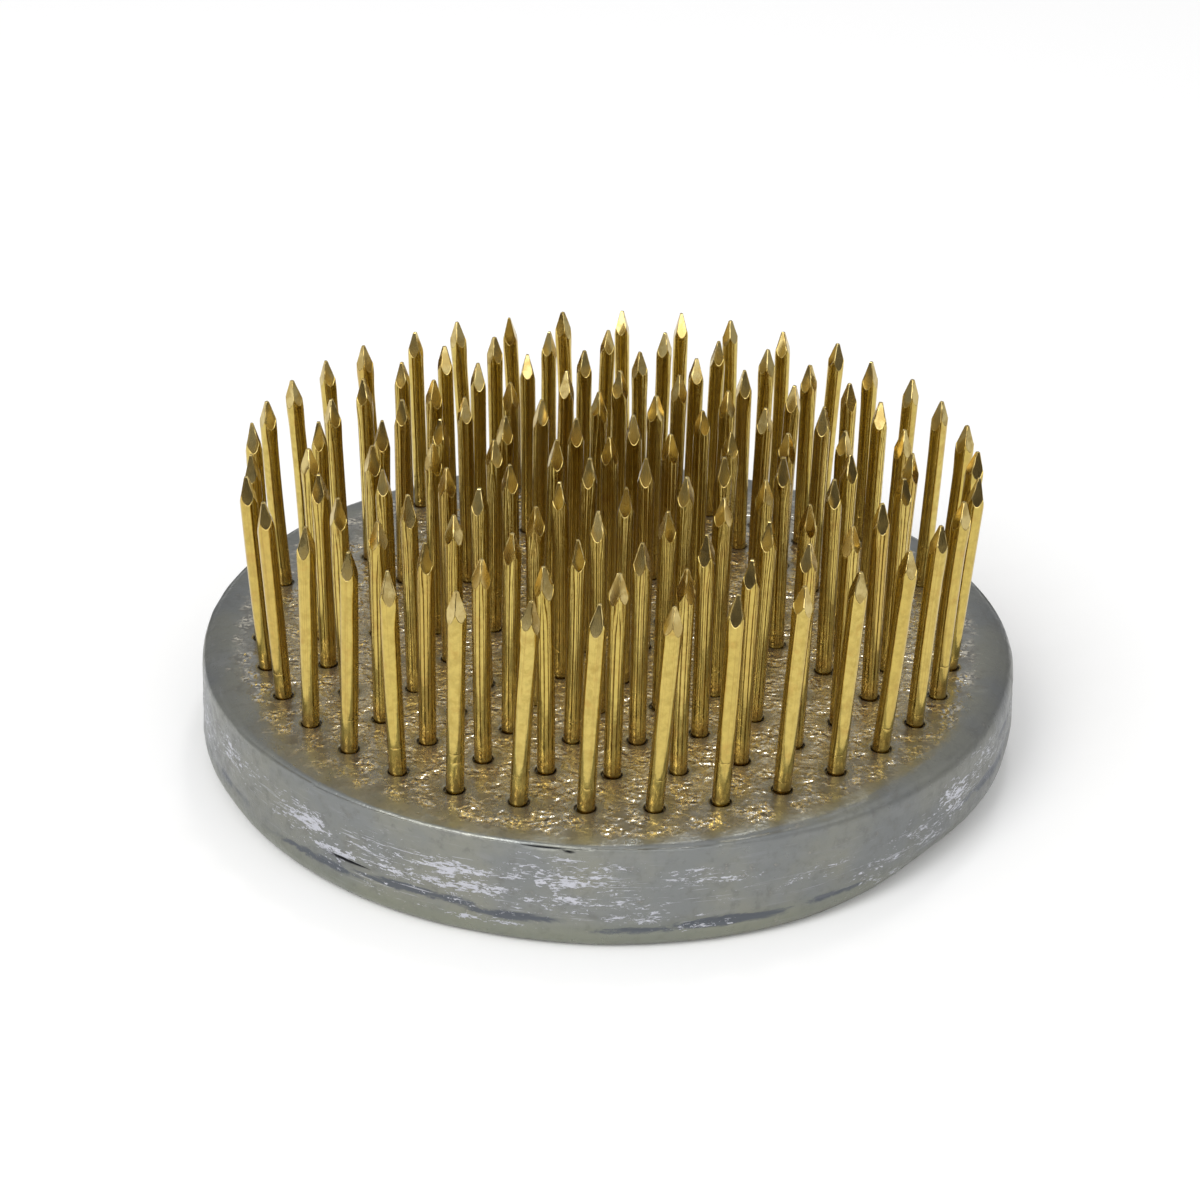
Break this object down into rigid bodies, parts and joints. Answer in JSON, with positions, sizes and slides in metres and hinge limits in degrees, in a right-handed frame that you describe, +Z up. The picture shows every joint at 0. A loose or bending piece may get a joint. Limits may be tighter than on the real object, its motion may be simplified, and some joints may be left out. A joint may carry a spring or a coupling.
{
  "type": "flower pin holder",
  "caption": "Round flower pin holder: a heavy cast lead-alloy disc set with concentric rings of upright brass pins, each ground to a four-sided point.",
  "frame": {"origin": "centre of the flat underside, where it stands on the table", "axes": "+Z up along the pins; the disc is round, so +X and +Y are any two square directions across it, with a gap between pins of the outer ring about -Y, the side shown towards the viewer"},
  "size_m": [0.0748, 0.0748, 0.0282],
  "materials": {
    "lead_casting": "satin",
    "pin_brass": "polished"
  },
  "bodies": {
    "root": {"base": "lead_casting", "pin_centre": "pin_brass", "pins_ring1_sixth1": "pin_brass", "pins_ring1_sixth2": "pin_brass", "pins_ring1_sixth3": "pin_brass", "pins_ring1_sixth4": "pin_brass", "pins_ring1_sixth5": "pin_brass", "pins_ring1_sixth6": "pin_brass", "pins_ring2_sixth1": "pin_brass", "pins_ring2_sixth2": "pin_brass", "pins_ring2_sixth3": "pin_brass", "pins_ring2_sixth4": "pin_brass", "pins_ring2_sixth5": "pin_brass", "pins_ring2_sixth6": "pin_brass", "pins_ring3_sixth1": "pin_brass", "pins_ring3_sixth2": "pin_brass", "pins_ring3_sixth3": "pin_brass", "pins_ring3_sixth4": "pin_brass", "pins_ring3_sixth5": "pin_brass", "pins_ring3_sixth6": "pin_brass", "pins_ring4_sixth1": "pin_brass", "pins_ring4_sixth2": "pin_brass", "pins_ring4_sixth3": "pin_brass", "pins_ring4_sixth4": "pin_brass", "pins_ring4_sixth5": "pin_brass", "pins_ring4_sixth6": "pin_brass", "pins_ring5_sixth1": "pin_brass", "pins_ring5_sixth2": "pin_brass", "pins_ring5_sixth3": "pin_brass", "pins_ring5_sixth4": "pin_brass", "pins_ring5_sixth5": "pin_brass", "pins_ring5_sixth6": "pin_brass", "pins_ring6_sixth1": "pin_brass", "pins_ring6_sixth2": "pin_brass", "pins_ring6_sixth3": "pin_brass", "pins_ring6_sixth4": "pin_brass", "pins_ring6_sixth5": "pin_brass", "pins_ring6_sixth6": "pin_brass"}
  },
  "joints": []
}
